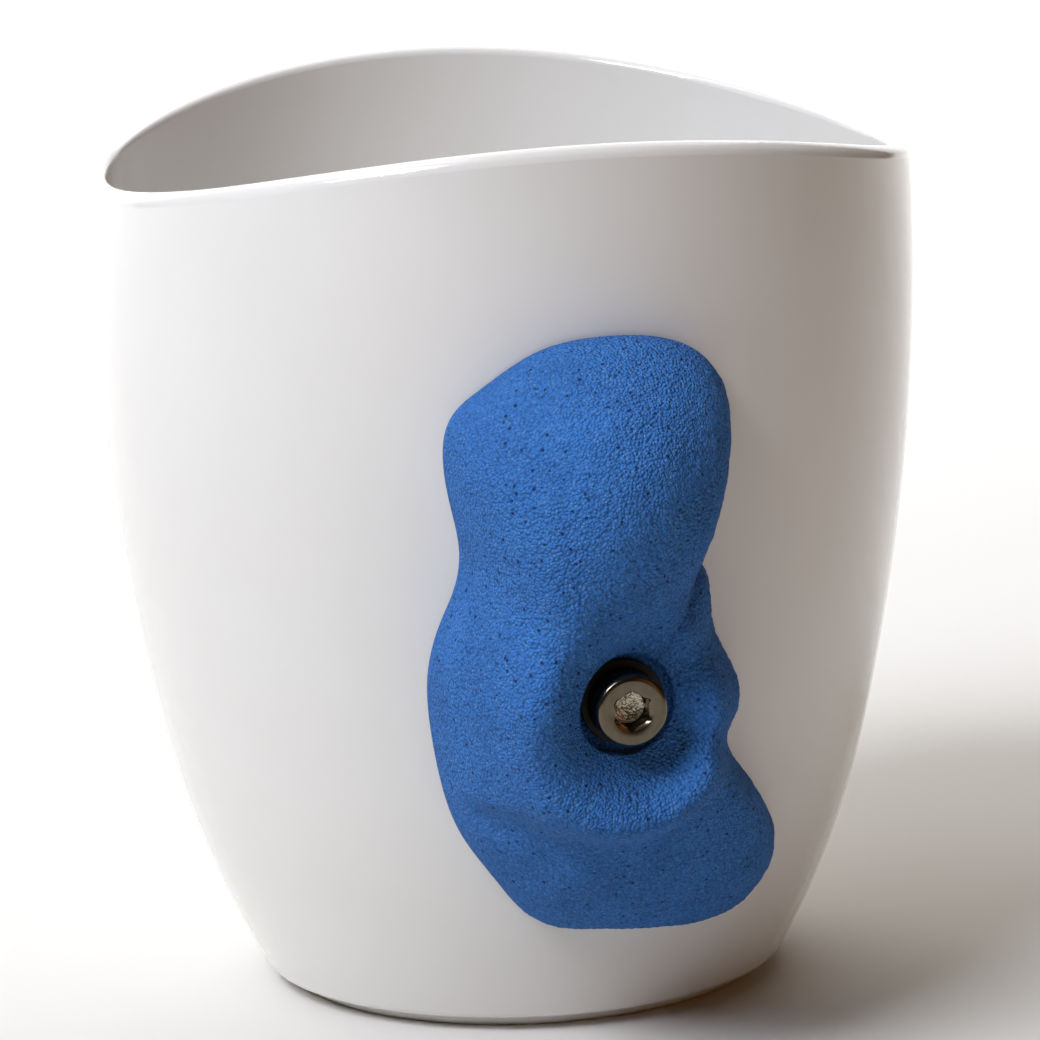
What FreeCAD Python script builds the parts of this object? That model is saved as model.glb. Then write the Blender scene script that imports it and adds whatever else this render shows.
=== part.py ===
# Porcelain mug with a climbing hold for a handle. The hold is bolted through its own
# counterbore to a threaded insert, which is bonded into a boss on the mug's wall.
# Frame: Z is the mug's axis, the foot ring stands on Z = 0 and the hold is on the -Y side.
# Lengths are millimetres. "Reach" is the distance from the mug's axis along -Y.
import FreeCAD, Part
import math
import os

Vector = FreeCAD.Vector

# Mug body
mug_radius = 51.0             # at its widest
widest_height = 95.0          # where the wall stands upright
wall_arc_radius = 285.0       # slow taper below the widest height
turn_height = 30.0            # where the taper quickens towards the foot
lower_arc_radius = 110.0
rim_height = 106.4            # mean height of the lip
rim_wave = 4.35               # lip rises over the hold and dips at the sides by this much
lip_thickness = 2.9
lip_outer_round = 1.6
lip_inner_round = 0.8
bore_arc_radius = 240.0       # the inside tapers faster, so the wall thickens downwards
bore_lower_arc_radius = 95.0
bore_corner_round = 9.0
floor_thickness = 6.0
foot_inset = 2.6              # step from the wall's lowest edge in to the foot ring
foot_height = 1.6
foot_ring_width = 3.8
foot_round = 0.8
heel_round = 1.6

# Boss, insert and seal on the bolt's axis
bolt_height = 47.0
boss_radius = 9.0
boss_reach = 6.0              # past the mug's wall
insert_radius = 4.0
insert_length = 7.2
insert_depth = 0.2            # below the boss's face
bond_thickness = 0.4
gasket_thickness = 1.0
gasket_bore_radius = 3.4

# M5 socket-head cap screw and its washer
thread_radius = 2.5
thread_pitch = 0.8
thread_engagement = 5.6
thread_clearance = 0.05
shank_clearance = 0.25
screw_length = 12.0
head_radius = 4.25
head_height = 5.0
head_round = 0.5
hex_width = 4.0
hex_depth = 2.6
hex_lead_in = 0.25
hex_turn = 30.0               # a corner points straight up
washer_radius = 5.0
washer_thickness = 1.0
washer_clearance = 0.15

# Climbing hold
hold_gap = 0.3                # between the hold's back and the wall or boss
counterbore_radius = 6.05
counterbore_depth = 2.0       # from the dish's middle to the washer's seat
back_depth = 22.0             # how far the uncut blank runs inside the wall
edge_power = 2.6              # how square the shoulder is in plan
crown_power = 2.2             # how square the shoulder is in section
angle_count = 72              # control points round the blank
ring_count = 17               # control points from the bolt out to the edge

# The hold's outline about the bolt's axis: (across, up), anticlockwise from the right.
outline_points = [
    (16.6, -4.5), (14.9, 3.0), (13.2, 8.5), (11.6, 14.0), (12.0, 19.5), (14.1, 25.5),
    (15.3, 32.0), (13.6, 37.4), (8.8, 40.4), (1.0, 41.4), (-6.5, 40.2), (-13.5, 35.8),
    (-17.4, 31.0), (-17.6, 25.5), (-16.5, 19.5), (-16.2, 14.5), (-17.8, 9.0), (-19.6, 2.0),
    (-19.4, -5.0), (-18.2, -12.0), (-15.6, -19.5), (-11.2, -26.0), (-7.2, -30.5),
    (1.0, -32.5), (11.0, -33.5), (19.6, -32.2), (23.3, -27.5), (22.8, -21.0),
    (18.9, -14.5), (15.6, -9.0),
]

# Rises and hollows on the hold: (amount, across, up, spread across, spread up).
lobes = [
    (7.4, -1.0, 28.0, 14.0, 14.0),      # broad upper dome
    (6.0, -12.0, 1.0, 7.0, 14.0),       # left cheek
    (3.4, -3.0, -13.5, 12.0, 5.5),      # lower lip of the dish
    (1.8, 11.5, -4.0, 4.5, 7.0),        # right lip of the dish
    (-3.4, 13.0, 11.0, 8.0, 10.0),      # waist on the right
    (-2.4, -13.0, -15.2, 3.4, 2.6),     # pocket under the cheek
    (1.8, -3.0, -22.0, 4.0, 5.0),       # spine down the toe
    (-1.5, -17.0, 16.0, 3.0, 5.0),      # nick between cheek and dome
]

# Dish round the bolt, with a flat middle and a steep side.
dish_depth = 4.0
dish_across = 0.9             # of its middle, from the bolt
dish_half_width = 9.1
dish_half_height = 9.4

# Horseshoe ridge round the lower half of the dish.
rim_rise = 1.6
rim_centre = (-0.9, -1.0)     # across and up from the bolt
rim_half_width = 12.4
rim_half_height = 13.6
rim_sharpness = 0.17          # share of the ring's radius
rim_top = 3.0                 # where the two ends fade out
rim_fade = 3.0

# Slanting crest above the bolt, where the dome breaks off into the waist.
crest_drop = 1.4
crest_start = (-5.2, 5.4)
crest_end = (6.6, 17.6)
crest_away = 3.5              # from the crest's line to the deepest part of the break
crest_spread = 3.0
crest_fade = 2.0              # at both ends

# Ledge between the dish's lower lip and the toe.
ledge_drop = 4.8
ledge_height = -16.2          # of the ledge's lowest point, from the bolt
ledge_centre = 1.0
ledge_bend_left = 0.012       # rise per millimetre squared, left and right of the centre
ledge_bend_right = 0.042
ledge_softness = 1.0
ledge_left = -17.0            # where it fades out
ledge_fade = 3.0


def sag(radius, run):
    """How far an arc falls away from its tangent after a given run."""
    return radius - math.sqrt(radius ** 2 - run ** 2)


def taper(top_radius, upper_arc, lower_arc, height):
    """Radius at a height, on two arcs that join tangent at the turn height."""
    if height >= turn_height:
        return top_radius - sag(upper_arc, widest_height - height)
    slope = (widest_height - turn_height) / upper_arc
    steeper = slope + (turn_height - height) / lower_arc
    fall = math.sqrt(1.0 - slope ** 2) - math.sqrt(1.0 - steeper ** 2)
    return top_radius - sag(upper_arc, widest_height - turn_height) - lower_arc * fall


def wall_radius(height):
    return taper(mug_radius, wall_arc_radius, lower_arc_radius, height)


def bore_radius(height):
    bore_top = mug_radius - lip_thickness
    return taper(bore_top, bore_arc_radius, bore_lower_arc_radius, height)


def point(radius, height):
    return Vector(radius, 0, height)


def arc(profile, low, middle, high):
    """Arc through three heights of a radius profile."""
    ends = [point(profile(height), height) for height in (low, middle, high)]
    return Part.Arc(*ends).toShape()


def line(start, end):
    return Part.makeLine(start, end)


def turned(edges):
    """Solid of revolution about Z."""
    face = Part.Face(Part.Wire(edges))
    return face.revolve(Vector(0, 0, 0), Vector(0, 0, 1), 360)


def rod(radius, inner_reach, outer_reach):
    """Cylinder on the bolt's axis between two reaches."""
    base = Vector(0, -inner_reach, bolt_height)
    return Part.makeCylinder(radius, outer_reach - inner_reach, base, Vector(0, -1, 0))


def circles_at(shape, height, radius):
    """Round edges of a turned solid at one height and radius."""
    return [edge for edge in shape.Edges
            if abs(edge.BoundBox.ZMin - height) < 0.01
            and abs(edge.BoundBox.ZMax - height) < 0.01
            and abs(edge.BoundBox.XMax - radius) < 0.01]


# Places along the bolt's axis
wall_reach = wall_radius(bolt_height)
boss_face = wall_reach + boss_reach
insert_face = boss_face - insert_depth
insert_end = insert_face - insert_length
hold_seat = boss_face + gasket_thickness
screw_tip = insert_face - thread_engagement
head_seat = screw_tip + screw_length
washer_seat = head_seat - washer_thickness
dish_reach = washer_seat + counterbore_depth


def outer_form(offset):
    """The mug's outside as a plain solid, grown by an offset."""
    top = rim_height + rim_wave + 5.0
    middle = (turn_height + top) / 2.0

    def radius(height):
        return wall_radius(height) + offset

    edges = [
        line(point(0, foot_height), point(radius(foot_height), foot_height)),
        arc(radius, foot_height, (foot_height + turn_height) / 2.0, turn_height),
        arc(radius, turn_height, middle, top),
        line(point(radius(top), top), point(0, top)),
        line(point(0, top), point(0, foot_height)),
    ]
    return turned(edges)


def inner_form():
    """The space for the drink, with its rounded corner."""
    top = rim_height + rim_wave + 6.0
    bottom = foot_height + floor_thickness
    edges = [
        line(point(0, bottom), point(bore_radius(bottom), bottom)),
        arc(bore_radius, bottom, (bottom + turn_height) / 2.0, turn_height),
        arc(bore_radius, turn_height, (turn_height + top) / 2.0, top),
        line(point(bore_radius(top), top), point(0, top)),
        line(point(0, top), point(0, bottom)),
    ]
    space = turned(edges)
    return space.makeFillet(bore_corner_round, circles_at(space, bottom, bore_radius(bottom)))


def above_rim():
    """Everything above the wavy lip: a saddle surface pushed upwards."""
    half = mug_radius * 1.5
    rise = rim_wave * (half / mug_radius) ** 2
    square = (1.0, -1.0, 1.0)           # Bezier poles of a parabola over -half to half
    saddle = Part.BezierSurface()
    saddle.increase(2, 2)
    for i in range(3):
        for j in range(3):
            height = rim_height + rise * (square[j] - square[i])
            saddle.setPole(i + 1, j + 1, Vector(half * (i - 1), half * (j - 1), height))
    return saddle.toShape().extrude(Vector(0, 0, rim_height))


def lip_edges(shape, radius):
    """The lip's edge at the given radius."""
    low = rim_height - rim_wave - 1.0
    return [edge for edge in shape.Edges
            if edge.BoundBox.ZMin > low and abs(edge.BoundBox.XMax - radius) < 0.3]


def make_mug_body():
    body = outer_form(0.0)
    heel = circles_at(body, foot_height, wall_radius(foot_height))
    body = body.makeFillet(heel_round, heel)
    body = body.cut(above_rim())

    ring_outer = wall_radius(foot_height) - foot_inset
    ring_inner = ring_outer - foot_ring_width
    ring = Part.makeCylinder(ring_outer, foot_height * 2.0)
    ring = ring.cut(Part.makeCylinder(ring_inner, foot_height))
    treads = circles_at(ring, 0.0, ring_outer) + circles_at(ring, 0.0, ring_inner)
    body = body.fuse(ring.makeFillet(foot_round, treads))

    wall_middle = (wall_reach + bore_radius(bolt_height)) / 2.0
    body = body.fuse(rod(boss_radius, wall_middle, boss_face))
    body = body.cut(inner_form())
    dip = rim_height - rim_wave
    body = body.makeFillet(lip_outer_round, lip_edges(body, wall_radius(dip)))
    body = body.makeFillet(lip_inner_round, lip_edges(body, bore_radius(dip)))
    hole_radius = insert_radius + bond_thickness
    return body.cut(rod(hole_radius, insert_end - bond_thickness, boss_face))


def make_insert_bond():
    """Cup of epoxy between the insert and its blind hole."""
    cup = rod(insert_radius + bond_thickness, insert_end - bond_thickness, insert_face)
    return cup.cut(rod(insert_radius, insert_end, insert_face))


def make_threaded_insert():
    body = rod(insert_radius, insert_end, insert_face)
    return body.cut(rod(thread_radius + thread_clearance, insert_end, insert_face))


def make_boss_gasket():
    disc = rod(boss_radius, boss_face, hold_seat)
    return disc.cut(rod(gasket_bore_radius, boss_face, hold_seat))


def make_hold_washer():
    disc = rod(washer_radius, washer_seat, head_seat)
    return disc.cut(rod(thread_radius + washer_clearance, washer_seat, head_seat))


def make_hold_screw():
    face = head_seat + head_height
    head = rod(head_radius, head_seat, face)
    rim = [edge for edge in head.Edges if abs(edge.BoundBox.YMax + face) < 0.01]
    screw = head.makeFillet(head_round, rim).fuse(rod(thread_radius, screw_tip, head_seat))
    tip = [edge for edge in screw.Edges if abs(edge.BoundBox.YMin + screw_tip) < 0.01]
    screw = screw.makeChamfer(thread_pitch / 2.0, tip)

    corner = hex_width / math.sqrt(3.0)
    corners = []
    for i in range(7):
        angle = math.radians(60.0 * i + hex_turn)
        x = corner * math.cos(angle)
        z = bolt_height + corner * math.sin(angle)
        corners.append(Vector(x, -face, z))
    socket = Part.Face(Part.makePolygon(corners)).extrude(Vector(0, hex_depth, 0))
    lead_in = Part.makeCone(corner + hex_lead_in, corner - hex_lead_in, 2.0 * hex_lead_in,
                            Vector(0, -face, bolt_height), Vector(0, 1, 0))
    return screw.cut(socket.fuse(lead_in))


def outline_radius():
    """Periodic curve of the hold's outline radius against angle."""
    corners = [(math.atan2(up, across), math.hypot(across, up)) for across, up in outline_points]
    start = corners[0][0]
    angles = [(angle - start) % (2.0 * math.pi) for angle, _ in corners] + [2.0 * math.pi]
    points = [Vector(radius, 0, 0) for _, radius in corners]
    curve = Part.BSplineCurve()
    curve.interpolate(Points=points, Parameters=angles, PeriodicFlag=True)
    return lambda angle: curve.value((angle - start) % (2.0 * math.pi)).x


def step(value):
    return 0.5 * (1.0 + math.tanh(value))


def dish(across, up):
    """Depth of the dish round the bolt."""
    wide = (across - dish_across) / dish_half_width
    tall = up / dish_half_height
    return dish_depth * math.exp(-(wide ** 2 + tall ** 2) ** 2)


def rim(across, up):
    """Height of the horseshoe ridge."""
    ring = math.hypot((across - rim_centre[0]) / rim_half_width,
                      (up - rim_centre[1]) / rim_half_height)
    return rim_rise * math.exp(-((ring - 1.0) / rim_sharpness) ** 2) * step((rim_top - up) / rim_fade)


def crest(across, up):
    """Depth of the break below the slanting crest."""
    run_x = crest_end[0] - crest_start[0]
    run_z = crest_end[1] - crest_start[1]
    length = math.hypot(run_x, run_z)
    x = across - crest_start[0]
    z = up - crest_start[1]
    along = (x * run_x + z * run_z) / length
    past = (x * run_z - z * run_x) / length
    run = step(along / crest_fade) * step((length - along) / crest_fade)
    return crest_drop * run * math.exp(-((past - crest_away) / crest_spread) ** 2)


def ledge(across, up):
    """Depth of the step down to the toe."""
    offset = across - ledge_centre
    right = step(offset / 2.0)
    bend = offset ** 2 * (ledge_bend_left * (1.0 - right) + ledge_bend_right * right)
    under = step((ledge_height + bend - up) / ledge_softness)
    return ledge_drop * under * step((across - ledge_left) / ledge_fade)


def relief(across, up):
    """Sum of the rises and hollows over the mug's wall."""
    depth = rim(across, up) - dish(across, up) - crest(across, up) - ledge(across, up)
    for amount, x, z, wide, tall in lobes:
        depth += amount * math.exp(-((across - x) / wide) ** 2 - ((up - z) / tall) ** 2)
    return depth


def thickness(across, up):
    """Depth of the hold over the mug's wall, before its shoulder is rounded."""
    return dish_reach - wall_reach + relief(across, up) - relief(0.0, 0.0)


def hold_row(share, radius_at):
    """Ring of control points at one share of the way from the bolt to the outline."""
    turn = share * math.pi / 2.0
    spread = math.sin(turn) ** (2.0 / edge_power)
    crown = max(math.cos(turn), 0.0) ** (2.0 / crown_power)
    row = []
    for i in range(angle_count):
        angle = 2.0 * math.pi * i / angle_count
        across = spread * radius_at(angle) * math.cos(angle)
        up = spread * radius_at(angle) * math.sin(angle)
        height = bolt_height + up
        wall = math.sqrt(wall_radius(height) ** 2 - across ** 2)
        row.append(Vector(across, -(wall + thickness(across, up) * crown), height))
    return row


def flat_row(row, scale, reach):
    """Copy of a ring, shrunk about the bolt and laid flat at one reach."""
    return [Vector(p.x * scale, -reach, bolt_height + (p.z - bolt_height) * scale) for p in row]


def make_blank():
    """The hold's outer form, running back inside the mug's wall."""
    radius_at = outline_radius()
    rings = [hold_row((i + 1.0) / ring_count, radius_at) for i in range(ring_count)]
    back = wall_reach - back_depth
    rows = [flat_row(rings[0], 0.5, dish_reach)] + rings
    rows += [flat_row(rings[-1], 1.0, back + back_depth / 2.0), flat_row(rings[-1], 1.0, back)]

    skin = Part.BSplineSurface()
    spans = len(rows) - 3
    skin.buildFromPolesMultsKnots(rows, [4] + [1] * (spans - 1) + [4], [1] * (angle_count + 1),
                                  list(range(spans + 1)), list(range(angle_count + 1)),
                                  False, True, 3, 3)
    side = skin.toShape()
    ends = [Part.Face(Part.Wire(edge)) for edge in side.Edges if edge.isClosed()
            and edge.BoundBox.YLength < 0.01]
    shell = Part.Shell([side] + ends)
    shell.sewShape()
    return Part.Solid(shell)


def make_climbing_hold():
    hold = make_blank().cut(outer_form(hold_gap))
    hold = hold.cut(rod(boss_radius + hold_gap, 0.0, hold_seat))
    hold = hold.cut(rod(thread_radius + shank_clearance, 0.0, washer_seat))
    return hold.cut(rod(counterbore_radius, washer_seat, washer_seat + 2.0 * back_depth))


pieces = {
    "mug_body": make_mug_body(),
    "insert_bond": make_insert_bond(),
    "threaded_insert": make_threaded_insert(),
    "boss_gasket": make_boss_gasket(),
    "climbing_hold": make_climbing_hold(),
    "hold_washer": make_hold_washer(),
    "hold_screw": make_hold_screw(),
}

os.makedirs("parts", exist_ok=True)
for name, shape in pieces.items():
    solids = shape.Solids
    if len(solids) != 1 or not solids[0].isValid():
        raise RuntimeError(name + " is not one sound solid")
    solids[0].exportStep("parts/" + name + ".step")
    box = solids[0].BoundBox
    print(name, "volume %.1f" % solids[0].Volume, "X %.2f %.2f" % (box.XMin, box.XMax),
          "Y %.2f %.2f" % (box.YMin, box.YMax), "Z %.2f %.2f" % (box.ZMin, box.ZMax))
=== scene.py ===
import bpy
import math
import numpy as np
from mathutils import Matrix, Vector, noise


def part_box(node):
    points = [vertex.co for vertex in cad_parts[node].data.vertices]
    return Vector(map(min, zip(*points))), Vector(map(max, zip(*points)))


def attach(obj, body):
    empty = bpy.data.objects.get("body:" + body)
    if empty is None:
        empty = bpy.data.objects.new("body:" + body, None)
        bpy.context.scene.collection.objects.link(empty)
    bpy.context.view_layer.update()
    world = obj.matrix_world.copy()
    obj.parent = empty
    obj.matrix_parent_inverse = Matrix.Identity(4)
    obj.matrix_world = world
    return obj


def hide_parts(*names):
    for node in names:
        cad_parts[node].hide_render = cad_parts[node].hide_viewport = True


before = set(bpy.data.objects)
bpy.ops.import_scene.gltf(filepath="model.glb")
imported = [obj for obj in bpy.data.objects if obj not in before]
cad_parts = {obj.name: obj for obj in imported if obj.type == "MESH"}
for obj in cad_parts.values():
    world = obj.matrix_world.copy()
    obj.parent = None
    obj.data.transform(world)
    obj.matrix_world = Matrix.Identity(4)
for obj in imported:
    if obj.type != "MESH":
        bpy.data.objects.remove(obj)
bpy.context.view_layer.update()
print("frame loaded,", len(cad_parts), "nodes")

mm = 0.001  # every size below is in millimetres, every mesh in metres
boltLow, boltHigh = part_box("hold_screw")
washerLow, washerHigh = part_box("hold_washer")
insertLow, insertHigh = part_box("threaded_insert")
gasketLow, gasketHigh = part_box("boss_gasket")
boltHeight = (washerLow.z + washerHigh.z) / 2 / mm
washerSeat = -washerHigh.y / mm  # distances from the mug's axis along -Y
headSeat = -washerLow.y / mm
screwFace = -boltLow.y / mm
screwTip = -boltHigh.y / mm
holdSeat = -gasketLow.y / mm


# ---- small tools

def linear(hexColour):  # sRGB hex to linear
    parts = [int(hexColour[i:i + 2], 16) / 255 for i in (1, 3, 5)]
    return [c / 12.92 if c <= 0.04045 else ((c + 0.055) / 1.055) ** 2.4 for c in parts] + [1.0]


def addNode(tree, kind, inputs=None, **settings):
    node = tree.nodes.new(kind)
    for key, value in settings.items():
        setattr(node, key, value)
    for socket, value in (inputs or {}).items():
        if isinstance(value, bpy.types.NodeSocket):
            tree.links.new(value, node.inputs[socket])
        else:
            node.inputs[socket].default_value = value
    return node


def mixColour(tree, factor, a, b):  # colour mix whose inputs may be sockets or values
    node = addNode(tree, "ShaderNodeMix", data_type="RGBA")
    for index, value in ((0, factor), (6, a), (7, b)):
        if isinstance(value, bpy.types.NodeSocket):
            tree.links.new(value, node.inputs[index])
        else:
            node.inputs[index].default_value = value
    return node.outputs[2]


def newMaterial(name, **values):  # a principled shader with its constants set
    material = bpy.data.materials.new(name)
    material.use_nodes = True
    tree = material.node_tree
    shader = tree.nodes["Principled BSDF"]
    for key, value in values.items():
        shader.inputs[key].default_value = value
    return material, tree, shader


def ringMesh(name, rings, loop=False):  # rings: rows x columns x 3, in millimetres
    rows, columns, _ = rings.shape
    points = [tuple(p) for p in (rings.reshape(-1, 3) * mm).tolist()]
    faces = []
    for i in range(rows if loop else rows - 1):
        low, high = i * columns, (i + 1) % rows * columns
        for j in range(columns):
            k = (j + 1) % columns
            faces.append((low + j, low + k, high + k, high + j))
    if not loop:  # close both ends to a point
        for row, turned in ((0, True), (rows - 1, False)):
            tip = len(points)
            points.append(tuple((rings[row].mean(0) * mm).tolist()))
            for j in range(columns):
                a, b = row * columns + j, row * columns + (j + 1) % columns
                faces.append((b, a, tip) if turned else (a, b, tip))
    mesh = bpy.data.meshes.new(name)
    mesh.from_pydata(points, [], faces)
    mesh.update()
    piece = bpy.data.objects.new(name, mesh)
    bpy.context.scene.collection.objects.link(piece)
    mesh.shade_smooth()
    return piece


def boltPoints(radius, angle, reach):  # from polar about the bolt to the frame
    across = radius * np.cos(angle)
    up = boltHeight + radius * np.sin(angle)
    return np.stack([across + 0 * reach, 0 * across - reach, up + 0 * reach], -1)


# ---- materials

def porcelainMaterial():  # hard-fired porcelain under clear glaze: cold white, glassy, barely rippled
    look = {"glaze": "#eae9e7", "thinGlaze": "#e4e2dd", "bisque": "#ddd5c4",
            "cloudMm": 25.0, "rippleMm": 9.0, "orangePeelMm": 1.3, "treadMm": 0.5}
    material, tree, shader = newMaterial("glazedPorcelain", **{
        "IOR": 1.5, "Coat Weight": 0.6, "Coat Roughness": 0.05, "Coat IOR": 1.5})
    place = addNode(tree, "ShaderNodeTexCoord").outputs["Object"]
    cloud = addNode(tree, "ShaderNodeTexNoise", {
        "Vector": place, "Scale": 1 / (look["cloudMm"] * mm), "Detail": 2.0}).outputs["Fac"]
    glaze = mixColour(tree, cloud, linear(look["glaze"]), linear(look["thinGlaze"]))
    height = addNode(tree, "ShaderNodeSeparateXYZ", {"Vector": place}).outputs["Z"]
    tread = addNode(tree, "ShaderNodeMapRange", {
        "Value": height, "From Min": 0.1 * mm, "From Max": look["treadMm"] * mm,
        "To Min": 1.0, "To Max": 0.0}).outputs["Result"]
    colour = mixColour(tree, tread, glaze, linear(look["bisque"]))
    tree.links.new(colour, shader.inputs["Base Color"])
    rough = addNode(tree, "ShaderNodeMapRange", {
        "Value": tread, "To Min": 0.13, "To Max": 0.85}).outputs["Result"]
    tree.links.new(rough, shader.inputs["Roughness"])
    ripple = addNode(tree, "ShaderNodeTexNoise", {
        "Vector": place, "Scale": 1 / (look["rippleMm"] * mm), "Detail": 1.0}).outputs["Fac"]
    peel = addNode(tree, "ShaderNodeTexNoise", {
        "Vector": place, "Scale": 1 / (look["orangePeelMm"] * mm), "Detail": 0.0}).outputs["Fac"]
    wide = addNode(tree, "ShaderNodeBump", {
        "Height": ripple, "Strength": 0.25, "Distance": 0.12 * mm}).outputs["Normal"]
    fine = addNode(tree, "ShaderNodeBump", {
        "Height": peel, "Strength": 0.2, "Distance": 0.01 * mm, "Normal": wide}).outputs["Normal"]
    tree.links.new(fine, shader.inputs["Normal"])
    return material


def resinMaterial():  # sand-filled polyester resin, cast: matt, gritty, with painted shade in its pits and between grains and painted highlights on a few grains
    look = {"body": "#3b7ccb", "darkToneAndPaintedShade": "#0e2857", "grainHighlight": "#7fb0ea",
            "grainMm": 0.37, "gritMm": 0.2, "pitMm": 1.5, "patchMm": 7.0}
    material, tree, shader = newMaterial("castSandResin", **{
        "IOR": 1.5, "Roughness": 0.85, "Specular IOR Level": 0.25})
    place = addNode(tree, "ShaderNodeTexCoord").outputs["Object"]
    grains = addNode(tree, "ShaderNodeTexVoronoi", {
        "Vector": place, "Scale": 1 / (look["grainMm"] * mm), "Randomness": 1.0})
    grit = addNode(tree, "ShaderNodeTexNoise", {
        "Vector": place, "Scale": 1 / (look["gritMm"] * mm), "Detail": 2.0}).outputs["Fac"]
    holes = addNode(tree, "ShaderNodeTexVoronoi", {
        "Vector": place, "Scale": 1 / (look["pitMm"] * mm), "Randomness": 1.0}).outputs["Distance"]
    patch = addNode(tree, "ShaderNodeTexNoise", {
        "Vector": place, "Scale": 1 / (look["patchMm"] * mm), "Detail": 3.0}).outputs["Fac"]
    tone = addNode(tree, "ShaderNodeMapRange", {
        "Value": patch, "From Min": 0.3, "From Max": 0.7, "To Max": 0.22}).outputs["Result"]
    colour = mixColour(tree, tone, linear(look["body"]), linear(look["darkToneAndPaintedShade"]))
    bright = addNode(tree, "ShaderNodeMapRange", {  # a few random grains painted pale: painted highlights
        "Value": grains.outputs["Color"], "From Min": 0.68, "From Max": 0.85,
        "To Max": 0.2}).outputs["Result"]
    colour = mixColour(tree, bright, colour, linear(look["grainHighlight"]))
    gapShade = addNode(tree, "ShaderNodeMapRange", {  # painted shade between the grains
        "Value": grains.outputs["Distance"], "From Min": 0.4, "From Max": 0.8,
        "To Max": 0.4}).outputs["Result"]
    colour = mixColour(tree, gapShade, colour, linear(look["darkToneAndPaintedShade"]))
    pitsAndPitShade = addNode(tree, "ShaderNodeMapRange", {  # air bubbles broken open, sunk by the bump below; the dark in them is painted shade
        "Value": holes, "From Min": 0.17, "From Max": 0.1, "To Max": 0.85}).outputs["Result"]
    colour = mixColour(tree, pitsAndPitShade, colour, linear(look["darkToneAndPaintedShade"]))
    tree.links.new(colour, shader.inputs["Base Color"])
    rounded = addNode(tree, "ShaderNodeBump", {
        "Height": grains.outputs["Distance"], "Strength": 1.0, "Distance": 0.34 * mm},
        invert=True).outputs["Normal"]
    sunk = addNode(tree, "ShaderNodeBump", {
        "Height": pitsAndPitShade, "Strength": 0.8, "Distance": 0.2 * mm, "Normal": rounded},
        invert=True).outputs["Normal"]
    sharp = addNode(tree, "ShaderNodeBump", {
        "Height": grit, "Strength": 0.7, "Distance": 0.12 * mm, "Normal": sunk}).outputs["Normal"]
    tree.links.new(sharp, shader.inputs["Normal"])
    return material


def turnedMetal(name, colour, roughness, markMm):  # lathe-turned about the bolt's axis
    look = {"bare": "#c9c2b2", "bareMm": 1.9, "bareFadeMm": 2.05, "blotchMm": 0.9, "crumpleMm": 0.6}
    material, tree, shader = newMaterial(name, **{"Metallic": 1.0})
    place = addNode(tree, "ShaderNodeTexCoord").outputs["Object"]
    middle = addNode(tree, "ShaderNodeVectorMath", {0: place, 1: (0, 0, boltHeight * mm)},
                     operation="SUBTRACT").outputs["Vector"]
    flat = addNode(tree, "ShaderNodeVectorMath", {0: middle, 1: (1, 0, 1)},
                   operation="MULTIPLY").outputs["Vector"]
    distance = addNode(tree, "ShaderNodeVectorMath", {0: flat}, operation="LENGTH").outputs["Value"]
    ring = addNode(tree, "ShaderNodeTexNoise", {
        "W": distance, "Scale": 1 / (markMm * mm), "Detail": 2.0}, noise_dimensions="1D").outputs[0]
    blotch = addNode(tree, "ShaderNodeTexNoise", {
        "Vector": place, "Scale": 1 / (look["blotchMm"] * mm), "Detail": 3.0}).outputs["Fac"]
    dark = [c * 0.62 for c in linear(colour)[:3]] + [1.0]
    core = addNode(tree, "ShaderNodeMapRange", {  # forged key socket, left bare and bright
        "Value": distance, "From Min": look["bareFadeMm"] * mm,
        "From Max": look["bareMm"] * mm}).outputs["Result"]
    skin = mixColour(tree, blotch, linear(colour), dark)
    tree.links.new(mixColour(tree, core, skin, linear(look["bare"])), shader.inputs["Base Color"])
    rough = addNode(tree, "ShaderNodeMapRange", {
        "Value": ring, "From Min": 0.25, "From Max": 0.75,
        "To Min": roughness * 0.7, "To Max": roughness * 1.4}).outputs["Result"]
    tree.links.new(rough, shader.inputs["Roughness"])
    marks = addNode(tree, "ShaderNodeBump", {
        "Height": ring, "Strength": 0.35, "Distance": 0.02 * mm}).outputs["Normal"]
    crumple = addNode(tree, "ShaderNodeTexNoise", {
        "Vector": place, "Scale": 1 / (look["crumpleMm"] * mm), "Detail": 2.0}).outputs["Fac"]
    forged = addNode(tree, "ShaderNodeMath", {0: crumple, 1: core}, operation="MULTIPLY").outputs[0]
    dented = addNode(tree, "ShaderNodeBump", {
        "Height": forged, "Strength": 1.0, "Distance": 0.35 * mm, "Normal": marks}).outputs["Normal"]
    tree.links.new(dented, shader.inputs["Normal"])
    return material


def rubberMaterial():  # moulded nitrile rubber: near black, dull, faintly dusty
    look = {"rubber": "#16171a", "dust": "#2c2d2f", "dustMm": 1.5}
    material, tree, shader = newMaterial("nitrileRubber", **{"IOR": 1.52, "Specular IOR Level": 0.35})
    place = addNode(tree, "ShaderNodeTexCoord").outputs["Object"]
    dust = addNode(tree, "ShaderNodeTexNoise", {
        "Vector": place, "Scale": 1 / (look["dustMm"] * mm), "Detail": 4.0}).outputs["Fac"]
    colour = mixColour(tree, dust, linear(look["rubber"]), linear(look["dust"]))
    tree.links.new(colour, shader.inputs["Base Color"])
    rough = addNode(tree, "ShaderNodeMapRange", {
        "Value": dust, "To Min": 0.6, "To Max": 0.9}).outputs["Result"]
    tree.links.new(rough, shader.inputs["Roughness"])
    skin = addNode(tree, "ShaderNodeBump", {
        "Height": dust, "Strength": 0.3, "Distance": 0.03 * mm}).outputs["Normal"]
    tree.links.new(skin, shader.inputs["Normal"])
    return material


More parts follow.
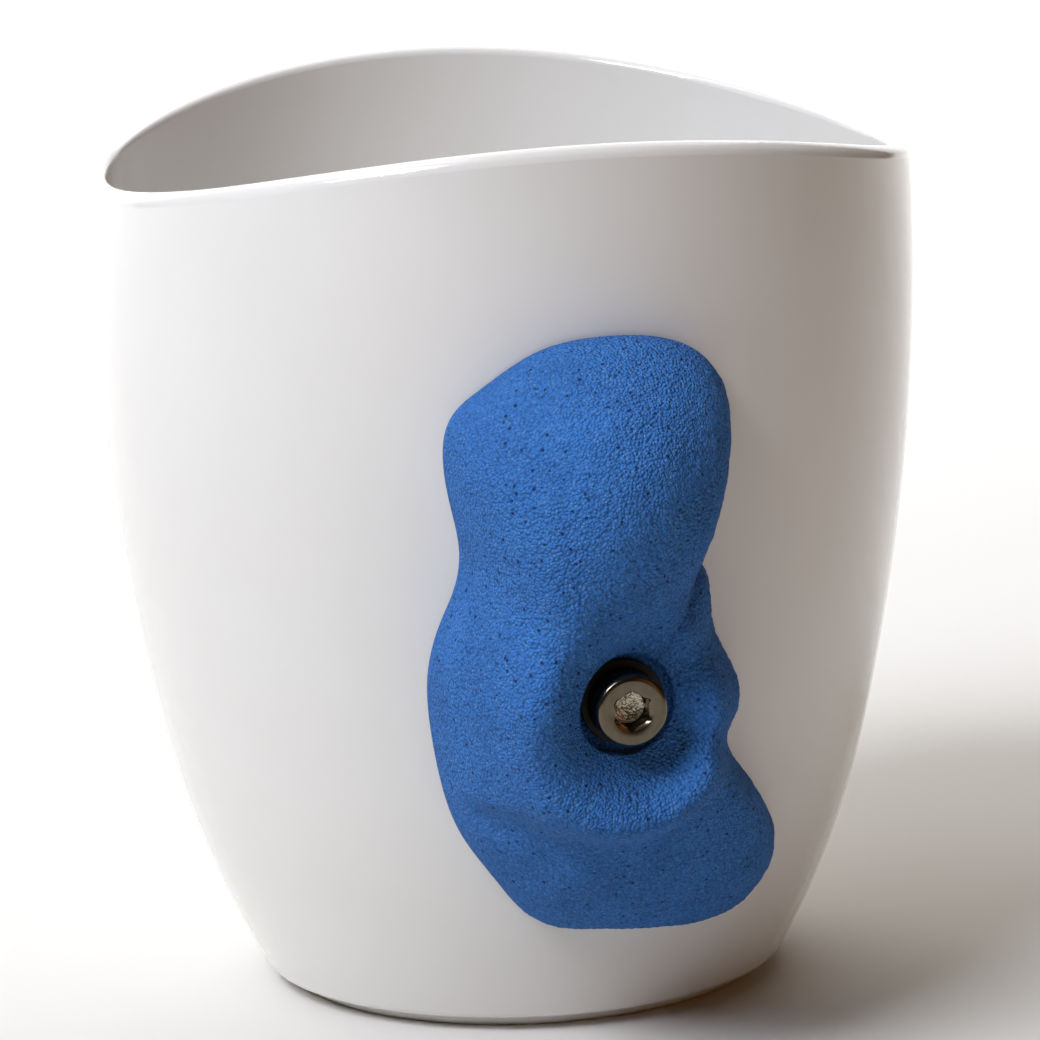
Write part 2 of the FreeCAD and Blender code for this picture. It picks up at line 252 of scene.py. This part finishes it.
def epoxyMaterial():  # cured two-part epoxy: amber-cream, a little glossy, uneven
    look = {"cream": "#d8cba6", "amber": "#b7a273", "swirlMm": 1.2}
    material, tree, shader = newMaterial("curedEpoxy", **{"IOR": 1.55, "Coat Weight": 0.3})
    place = addNode(tree, "ShaderNodeTexCoord").outputs["Object"]
    swirl = addNode(tree, "ShaderNodeTexNoise", {
        "Vector": place, "Scale": 1 / (look["swirlMm"] * mm), "Detail": 2.0}).outputs["Fac"]
    colour = mixColour(tree, swirl, linear(look["cream"]), linear(look["amber"]))
    tree.links.new(colour, shader.inputs["Base Color"])
    rough = addNode(tree, "ShaderNodeMapRange", {
        "Value": swirl, "To Min": 0.2, "To Max": 0.5}).outputs["Result"]
    tree.links.new(rough, shader.inputs["Roughness"])
    lumps = addNode(tree, "ShaderNodeBump", {
        "Height": swirl, "Strength": 0.5, "Distance": 0.08 * mm}).outputs["Normal"]
    tree.links.new(lumps, shader.inputs["Normal"])
    return material


porcelain = porcelainMaterial()
resin = resinMaterial()
screwSteel = turnedMetal("nickelPlatedSteel", "#7d7465", 0.2, 0.12)  # warm silver, soft gloss
# washer steel painted dark: painted shade at the bottom of the counterbore
washerSteel = turnedMetal("washerSteelDarkAsShade", "#3f3d3b", 0.6, 0.1)
brass = turnedMetal("turnedBrass", "#c9a24f", 0.28, 0.14)
print("materials made")


# ---- mug, gasket and bond keep their CAD meshes

def dress(node, material):
    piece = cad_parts[node]
    piece.data.materials.clear()
    piece.data.materials.append(material)


dress("mug_body", porcelain)
dress("boss_gasket", rubberMaterial())
dress("insert_bond", epoxyMaterial())


# ---- climbing hold

mugWall = {"radius": 51.0, "widest": 95.0, "arc": 285.0, "turn": 30.0, "lowerArc": 110.0}


def wallRadius(height):  # the mug's outside: two tangent arcs
    upper = mugWall["arc"]
    lower = mugWall["lowerArc"]
    drop = np.maximum(mugWall["widest"] - height, 0.0)
    top = mugWall["radius"] - (upper - np.sqrt(upper ** 2 - drop ** 2))
    run = mugWall["widest"] - mugWall["turn"]
    slope = run / upper
    steeper = slope + (mugWall["turn"] - height) / lower
    fall = math.sqrt(1 - slope ** 2) - np.sqrt(1 - np.clip(steeper, -1, 1) ** 2)
    below = mugWall["radius"] - (upper - math.sqrt(upper ** 2 - run ** 2)) - lower * fall
    return np.where(height >= mugWall["turn"], top, below)


hold = {
    "columns": 600, "skinRows": 126, "backRows": 8,
    "gap": 0.3, "shankHole": 2.75, "counterbore": 6.05, "wornLip": 0.35, "socket": 9.3,
    "counterboreDepth": 2.0, "edgePower": 2.6, "crownPower": 2.2,
    "grainMm": 0.85, "grainHeight": 0.24, "swellMm": 4.5, "swellHeight": 0.16,
    "outline": [  # across and up from the bolt, anticlockwise from the right
        (16.6, -4.5), (14.9, 3.0), (13.2, 8.5), (11.6, 14.0), (12.0, 19.5), (14.1, 25.5),
        (15.3, 32.0), (13.6, 37.4), (8.8, 40.4), (1.0, 41.4), (-6.5, 40.2), (-13.5, 35.8),
        (-17.4, 31.0), (-17.6, 25.5), (-16.5, 19.5), (-16.2, 14.5), (-17.8, 9.0), (-19.6, 2.0),
        (-19.4, -5.0), (-18.2, -12.0), (-15.6, -19.5), (-11.2, -26.0), (-7.2, -30.5),
        (1.0, -32.5), (11.0, -33.5), (19.6, -32.2), (23.3, -27.5), (22.8, -21.0),
        (18.9, -14.5), (15.6, -9.0)],
    "lobes": [  # amount, across, up, spread across, spread up
        (7.4, -1.0, 28.0, 14.0, 14.0),     # upper dome
        (6.0, -12.0, 1.0, 7.0, 14.0),      # left cheek
        (3.4, -3.0, -13.5, 12.0, 5.5),     # lower lip of the dish
        (1.8, 11.5, -4.0, 4.5, 7.0),       # right lip
        (-3.4, 13.0, 11.0, 8.0, 10.0),     # waist on the right
        (-2.4, -13.0, -15.2, 3.4, 2.6),    # pocket under the cheek
        (1.8, -3.0, -22.0, 4.0, 5.0),      # spine down the toe
        (-1.5, -17.0, 16.0, 3.0, 5.0)],    # nick between cheek and dome
    "dish": {"depth": 4.0, "across": 0.9, "up": 0.0, "wide": 9.1, "tall": 9.4},
    "rim": {"height": 1.6, "across": -0.9, "up": -1.0, "wide": 12.4, "tall": 13.6,
            "sharpness": 0.17, "top": 3.0, "fade": 3},
    "crest": {"depth": 1.4, "from": (-5.2, 5.4), "to": (6.6, 17.6), "away": 3.5, "spread": 3.0,
              "fade": 2},
    "ledge": {"drop": 4.8, "height": -16.2, "centre": 1.0, "bendLeft": 0.012,
              "bendRight": 0.042, "softness": 1.0, "left": -17.0, "fade": 3.0},
}


def smoothStep(value):
    return 0.5 * (1 + np.tanh(value))


def relief(across, up):  # rises and hollows over the mug's wall
    depth = 0.0 * across
    for amount, x, z, wide, tall in hold["lobes"]:
        depth = depth + amount * np.exp(-((across - x) / wide) ** 2 - ((up - z) / tall) ** 2)
    dish = hold["dish"]  # flat-bottomed, steep-sided
    spread = ((across - dish["across"]) / dish["wide"]) ** 2 + ((up - dish["up"]) / dish["tall"]) ** 2
    depth = depth - dish["depth"] * np.exp(-spread ** 2)
    rim = hold["rim"]  # horseshoe ridge round the lower half of the dish
    ring = np.hypot((across - rim["across"]) / rim["wide"], (up - rim["up"]) / rim["tall"])
    ends = smoothStep((rim["top"] - up) / rim["fade"])
    depth = depth + rim["height"] * np.exp(-((ring - 1) / rim["sharpness"]) ** 2) * ends
    crest = hold["crest"]  # the dome breaks off along a slanting crest above the bolt
    (x0, z0), (x1, z1) = crest["from"], crest["to"]
    length = math.hypot(x1 - x0, z1 - z0)
    along = ((across - x0) * (x1 - x0) + (up - z0) * (z1 - z0)) / length
    past = ((across - x0) * (z1 - z0) - (up - z0) * (x1 - x0)) / length
    run = smoothStep(along / crest["fade"]) * smoothStep((length - along) / crest["fade"])
    depth = depth - crest["depth"] * run * np.exp(-((past - crest["away"]) / crest["spread"]) ** 2)
    ledge = hold["ledge"]
    offset = across - ledge["centre"]
    right = smoothStep(offset / 2)
    bend = offset ** 2 * (ledge["bendLeft"] * (1 - right) + ledge["bendRight"] * right)
    under = smoothStep((ledge["height"] + bend - up) / ledge["softness"])
    return depth - ledge["drop"] * under * smoothStep((across - ledge["left"]) / ledge["fade"])


def outlineRadius(angles):  # periodic cubic through the outline's points
    corners = np.array(hold["outline"])
    turns = np.unwrap(np.arctan2(corners[:, 1], corners[:, 0]))
    radii = np.hypot(corners[:, 0], corners[:, 1])
    count = len(turns)
    knots = np.append(turns, turns[0] + 2 * math.pi)
    width = np.diff(knots)
    rise = (np.roll(radii, -1) - radii) / width
    system = np.zeros((count, count))
    target = np.zeros(count)
    for i in range(count):  # natural conditions wrap round: slopes match at every point
        before = (i - 1) % count
        system[i, before] += 1 / width[before]
        system[i, i] += 2 / width[before] + 2 / width[i]
        system[i, (i + 1) % count] += 1 / width[i]
        target[i] = 3 * (rise[before] / width[before] + rise[i] / width[i])
    slopes = np.linalg.solve(system, target)
    wrapped = turns[0] + np.mod(angles - turns[0], 2 * math.pi)
    span = np.clip(np.searchsorted(knots, wrapped, side="right") - 1, 0, count - 1)
    nextOne = (span + 1) % count
    t = (wrapped - knots[span]) / width[span]
    h00, h10 = 2 * t ** 3 - 3 * t ** 2 + 1, t ** 3 - 2 * t ** 2 + t
    h01, h11 = 3 * t ** 2 - 2 * t ** 3, t ** 3 - t ** 2
    return (h00 * radii[span] + h10 * width[span] * slopes[span]
            + h01 * radii[nextOne] + h11 * width[span] * slopes[nextOne])


def wallReach(across, up, gap=0.0):
    return np.sqrt((wallRadius(boltHeight + up) + gap) ** 2 - across ** 2)


def skinPoint(turn, edge, angles):  # the hold's face: superellipse shoulder over the relief
    spread = np.sin(turn) ** (2 / hold["edgePower"]) * edge
    crown = np.maximum(np.cos(turn), 0) ** (2 / hold["crownPower"])
    across, up = spread * np.cos(angles), spread * np.sin(angles)
    zero = np.zeros(1)
    base = washerSeat + hold["counterboreDepth"] - wallReach(zero, zero) - relief(zero, zero)
    depth = (base + relief(across, up)) * crown
    return np.stack([across, -(wallReach(across, up) + depth), boltHeight + up], -1), depth


def evenRows(angles, edge):  # skin rows at even distances along each column
    start = np.arcsin(((hold["counterbore"] + hold["wornLip"]) / edge) ** (hold["edgePower"] / 2))
    fine = 400
    share = np.linspace(0, 1, fine)[:, None]
    turns = start + (math.pi / 2 - start) * share
    points, depth = skinPoint(turns, edge, angles + 0 * share)
    steps = np.linalg.norm(np.diff(points, axis=0), axis=-1)
    lengths = np.vstack([np.zeros(len(angles)), np.cumsum(steps, axis=0)])
    rows = np.zeros((hold["skinRows"], len(angles)))
    for j in range(len(angles)):
        last = np.argmax(depth[:, j] < hold["gap"])  # stop short of the mug's wall
        end = np.interp(hold["gap"], depth[[last, last - 1], j], lengths[[last, last - 1], j])
        wanted = np.linspace(0, end, hold["skinRows"])
        rows[:, j] = np.interp(wanted, lengths[:, j], turns[:, j])
    return rows


def gridNormals(rings):
    along = np.roll(rings, -1, 1) - np.roll(rings, 1, 1)
    down = np.gradient(rings, axis=0)
    normals = np.cross(along, down)
    return normals / np.linalg.norm(normals, axis=-1, keepdims=True)


def grit(point):  # packed sand grains over slow swells
    place = Vector(point)
    grain = 0.5 - noise.voronoi(place / hold["grainMm"])[0][0]
    swell = noise.noise(place / hold["swellMm"])
    return hold["grainHeight"] * grain + hold["swellHeight"] * swell


def makeHold():
    angles = np.arange(hold["columns"]) * 2 * math.pi / hold["columns"]
    edge = outlineRadius(angles)
    skin, _ = skinPoint(evenRows(angles, edge), edge, angles[None, :])
    normals = gridNormals(skin)
    outward = np.sign(-normals[0, 0, 1])
    amounts = np.array([[grit(p) for p in row] for row in skin.tolist()])
    fade = np.ones(hold["skinRows"])
    fade[-4:] = [0.75, 0.5, 0.25, 0.0]  # the rim against the mug stays clean
    skin = skin + normals * outward * (amounts * fade[:, None])[..., None]

    seat = np.full(len(angles), washerSeat)
    mouth = -skin[0, :, 1]
    rows = [boltPoints(hold["shankHole"], angles, seat)]
    rows += [boltPoints(hold["counterbore"] - 0.2, angles, seat)]
    for share in (0.05, 0.2, 0.4, 0.6, 0.8, 1.0):  # counterbore wall
        reach = seat + (mouth - hold["wornLip"] - seat) * share
        rows.append(boltPoints(hold["counterbore"], angles, reach))
    rows.append(boltPoints(hold["counterbore"] + 0.1, angles, mouth - 0.1))
    rows += list(skin)
    rim = skin[-1]
    rimAcross, rimUp = rim[:, 0], rim[:, 2] - boltHeight
    rimRadius = np.hypot(rimAcross, rimUp)
    for i in range(hold["backRows"] + 1):  # back, a hair off the mug's wall
        radius = rimRadius + (hold["socket"] - rimRadius) * i / hold["backRows"]
        across, up = radius * np.cos(angles), radius * np.sin(angles)
        reach = wallReach(across, up, hold["gap"])
        rows.append(np.stack([across, -reach, boltHeight + up], -1))
    rows.append(boltPoints(hold["socket"], angles, np.full(len(angles), holdSeat)))
    rows.append(boltPoints(hold["shankHole"], angles, np.full(len(angles), holdSeat)))
    piece = ringMesh("climbingHold", np.array(rows), loop=True)
    piece.data.set_sharp_from_angle(angle=math.radians(50))
    piece.data.materials.append(resin)
    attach(piece, "hold")
    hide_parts("climbing_hold")
    return piece


makeHold()
print("hold made")


# ---- screw, washer and insert

screw = {"columns": 240, "headRadius": 4.25, "round": 0.75, "hexFlats": 4.0, "hexDepth": 2.6,
         "leadIn": 0.32, "knurls": 40, "knurlDepth": 0.16, "thread": 2.5, "pitch": 0.8,
         "threadDepth": 0.46, "underFillet": 0.3, "flatFace": 3.2}
washer = {"columns": 96, "hole": 2.66, "radius": 4.99, "bevel": 0.14}
insert = {"columns": 160, "mouth": 3.0, "shoulder": 3.8, "radius": 3.98, "knurls": 32,
          "knurlDepth": 0.2, "bore": 2.2, "flare": 0.4}


def threadRadius(angles, reach):  # right-hand thread about the bolt's outward axis
    phase = np.mod(reach / screw["pitch"] - angles / (2 * math.pi), 1.0)
    tooth = np.clip(np.abs(2 * phase - 1) * 1.3 - 0.15, 0, 1)
    return screw["thread"] - screw["threadDepth"] * tooth


def hexRadius(angles):  # a corner points straight up
    sixth = math.pi / 3
    return screw["hexFlats"] / 2 / np.cos(np.mod(angles + sixth / 2, sixth) - sixth / 2)


def makeScrew():
    angles = np.arange(screw["columns"]) * 2 * math.pi / screw["columns"]
    one = np.ones(len(angles))
    socket = hexRadius(angles)
    bottom = screwFace - screw["hexDepth"]
    head = screw["headRadius"]
    rows = [(0.5 * one, bottom - 0.45), (1.2 * one, bottom - 0.2), (1.8 * one, bottom),
            (socket - 0.06, bottom), (socket, bottom + 0.06),
            (socket, screwFace - screw["leadIn"] - 0.02), (socket, screwFace - screw["leadIn"]),
            (np.maximum(socket.max() + 0.12, socket), screwFace - 0.03),
            (socket.max() * one + 0.2, screwFace), (screw["flatFace"] * one, screwFace)]
    for i in range(10):  # rolled edge of the head
        turn = math.pi / 2 * i / 9
        radius = head - screw["round"] * (1 - math.sin(turn))
        rows.append((radius * one, screwFace - screw["round"] * (1 - math.cos(turn))))
    ridge = np.abs(np.mod(angles * screw["knurls"] / (2 * math.pi), 1.0) * 2 - 1)
    first, last = screwFace - screw["round"] - 0.1, headSeat + 0.35
    for i in range(13):
        share = i / 12
        depth = screw["knurlDepth"] * min(1.0, 6 * share, 6 * (1 - share))
        rows.append((head - depth * (1 - ridge), first + (last - first) * share))
    rows += [((head - 0.05) * one, headSeat + 0.2), ((head - 0.25) * one, headSeat)]
    rows.append(((screw["thread"] + 0.12) * one, headSeat))
    rows.append((screw["thread"] * one - 0.08, headSeat - screw["underFillet"]))
    start, end = headSeat - screw["underFillet"] - 0.1, screwTip + 0.02
    count = int((start - end) / screw["pitch"] * 9)
    for i in range(count + 1):
        reach = start + (end - start) * i / count
        fade = min(1.0, (start - reach) / 0.4)
        taper = max(0.0, 0.45 - (reach - screwTip)) * 0.9
        radius = threadRadius(angles, reach) * fade + (screw["thread"] - 0.08) * (1 - fade)
        rows.append((np.minimum(radius, screw["thread"] - taper), reach))
    rows.append((1.4 * one, screwTip))
    rings = np.array([boltPoints(radius, angles, np.full(len(angles), reach)) for radius, reach in rows])
    piece = ringMesh("holdScrew", rings[::-1])
    piece.data.set_sharp_from_angle(angle=math.radians(38))
    piece.data.materials.append(screwSteel)
    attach(piece, "screw")
    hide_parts("hold_screw")


def roundedSection(inner, outer, low, high, bevel):  # closed section of a washer-like ring
    corners = [(inner, low, 1, 1), (outer, low, -1, 1), (outer, high, -1, -1), (inner, high, 1, -1)]
    section = []
    for index, (radius, reach, sx, sy) in enumerate(corners):
        for i in range(4):
            turn = math.pi / 2 * (i / 3 + index) + math.pi
            section.append((radius + sx * bevel + bevel * math.cos(turn),
                            reach + sy * bevel + bevel * math.sin(turn)))
    return section


def makeWasher():
    columns = washer["columns"]
    angles = np.arange(columns) * 2 * math.pi / columns
    section = roundedSection(washer["hole"], washer["radius"], washerSeat, headSeat, washer["bevel"])
    rings = np.array([boltPoints(np.full(columns, radius), angles, np.full(columns, reach))
                      for radius, reach in section])
    piece = ringMesh("holdWasher", rings, loop=True)
    piece.data.set_sharp_from_angle(angle=math.radians(40))
    piece.data.materials.append(washerSteel)
    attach(piece, "washer")
    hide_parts("hold_washer")


def makeInsert():
    columns = insert["columns"]
    angles = np.arange(columns) * 2 * math.pi / columns
    one = np.ones(columns)
    face, end = -insertLow.y / mm, -insertHigh.y / mm
    rows = [(insert["mouth"] * one, end), (insert["shoulder"] * one, end)]
    ridge = np.abs(np.mod(angles * insert["knurls"] / (2 * math.pi), 1.0) * 2 - 1)
    for i in range(9):
        share = i / 8
        depth = insert["knurlDepth"] * ridge * min(1.0, 5 * share, 5 * (1 - share))
        rows.append((insert["radius"] - depth, end + 0.2 + (face - end - 0.4) * share))
    rows += [(insert["shoulder"] * one, face), (insert["mouth"] * one, face)]
    count = int((face - end) / screw["pitch"] * 9)
    for i in range(count + 1):
        reach = face + (end - face) * i / count
        flare = max(0.0, insert["flare"] - (face - reach)) + max(0.0, insert["flare"] - (reach - end))
        rows.append((np.maximum(threadRadius(angles, reach) + 0.05, insert["bore"] + flare), reach))
    rings = np.array([boltPoints(radius, angles, np.full(columns, reach)) for radius, reach in rows])
    piece = ringMesh("threadedInsert", rings, loop=True)
    piece.data.set_sharp_from_angle(angle=math.radians(38))
    piece.data.materials.append(brass)
    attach(piece, "mug")
    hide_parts("threaded_insert")


makeScrew()
makeWasher()
makeInsert()
print("screw, washer and insert made")


# ---- floor, lights and camera

studio = {
    "floorColour": "#f0eeea", "nearShadeColour": "#c8c4bc", "farGlow": 0.75,
    "sweepStart": 2.2, "sweepRadius": 0.9, "sweepSteps": 8,
    "worldColour": "#e6bf78", "worldStrength": 0.045,
    "target": (0.0, 0.0, 55.0), "azimuth": -12.0, "elevation": 12.0, "distance": 700.0,
    "roll": -1.96, "lens": 193.85, "shift": (0.0093, 0.0128),
    "lights": [  # name, colour, power, place, aim, size
        ("window", "#f0f4ff", 20.5, (-0.85, -0.55, 1.1), (0, 0, 0.05), (0.6, 0.6)),
        ("skylight", "#ffffff", 2.5, (-0.55, 0.0, 1.3), (0, 0, 0.05), (0.7, 0.7)),
        ("ceiling", "#ffffff", 27.0, (0.0, 1.5, 1.9), (0, 1.2, 0), (3.0, 2.6)),
        ("bounce", "#ffa552", 0.85, (0.9, -0.9, 0.5), (0, 0, 0.05), (0.9, 0.9))],
}


def makeFloor():  # paper floor that sweeps up far behind and glows there, more the further back it lies: painted light
    radius = studio["sweepRadius"]
    profile = [(-3.0, 0.0), (0.0, 0.0), (studio["sweepStart"], 0.0)]
    for i in range(1, studio["sweepSteps"] + 1):
        turn = math.pi / 2 * i / studio["sweepSteps"]
        profile.append((studio["sweepStart"] + radius * math.sin(turn), radius * (1 - math.cos(turn))))
    profile.append((studio["sweepStart"] + radius, 3.0))
    points = [(side, y, z) for y, z in profile for side in (-3.0, 3.0)]
    faces = [(2 * i, 2 * i + 1, 2 * i + 3, 2 * i + 2) for i in range(len(profile) - 1)]
    mesh = bpy.data.meshes.new("floor")
    mesh.from_pydata(points, [], faces)
    mesh.shade_smooth()
    floor = bpy.data.objects.new("floor", mesh)
    bpy.context.scene.collection.objects.link(floor)
    material, tree, shader = newMaterial("paperFloor", **{
        "Roughness": 0.9, "Emission Color": (1, 1, 1, 1)})
    place = addNode(tree, "ShaderNodeTexCoord").outputs["Object"]
    depth = addNode(tree, "ShaderNodeSeparateXYZ", {"Vector": place}).outputs["Y"]
    # painted light: the floor's glow grows from nothing at the mug to full far behind
    glow = addNode(tree, "ShaderNodeMapRange", {
        "Value": depth, "From Min": 0.0, "From Max": 0.9,
        "To Max": studio["farGlow"]},
        interpolation_type="SMOOTHSTEP").outputs["Result"]
    tree.links.new(glow, shader.inputs["Emission Strength"])
    # painted shade: the floor is painted darker in front of the mug
    near = addNode(tree, "ShaderNodeMapRange", {
        "Value": depth, "From Min": 0.1, "From Max": -0.15}).outputs["Result"]
    paper = mixColour(tree, near, linear(studio["floorColour"]), linear(studio["nearShadeColour"]))
    tree.links.new(paper, shader.inputs["Base Color"])
    mesh.materials.append(material)


def makeLight(name, colour, power, place, aim, size):
    data = bpy.data.lights.new(name, "AREA")
    data.shape = "RECTANGLE"
    data.size, data.size_y = size
    data.energy = power
    data.color = linear(colour)[:3]
    light = bpy.data.objects.new(name, data)
    bpy.context.scene.collection.objects.link(light)
    light.location = place
    light.rotation_euler = (Vector(aim) - Vector(place)).to_track_quat("-Z", "Y").to_euler()


def makeCamera():
    azimuth, elevation = math.radians(studio["azimuth"]), math.radians(studio["elevation"])
    back = Vector((math.sin(azimuth) * math.cos(elevation), -math.cos(azimuth) * math.cos(elevation),
                   math.sin(elevation)))
    data = bpy.data.cameras.new("camera")
    data.lens = studio["lens"]
    data.sensor_width = 36.0
    data.shift_x, data.shift_y = studio["shift"]
    data.clip_start, data.clip_end = 0.05, 20.0
    camera = bpy.data.objects.new("camera", data)
    bpy.context.scene.collection.objects.link(camera)
    camera.location = Vector(studio["target"]) * mm + back * studio["distance"] * mm
    aim = (-back).to_track_quat("-Z", "Y").to_matrix().to_4x4()
    turn = (aim @ Matrix.Rotation(math.radians(studio["roll"]), 4, "Z")).to_euler()
    camera.rotation_euler = turn
    bpy.context.scene.camera = camera


makeFloor()
for lamp in studio["lights"]:
    makeLight(*lamp)
world = bpy.data.worlds.new("room")
bpy.context.scene.world = world
world.use_nodes = True
world.node_tree.nodes["Background"].inputs["Color"].default_value = linear(studio["worldColour"])
world.node_tree.nodes["Background"].inputs["Strength"].default_value = studio["worldStrength"]
bpy.context.scene.view_settings.view_transform = "Standard"
makeCamera()
print("studio made")
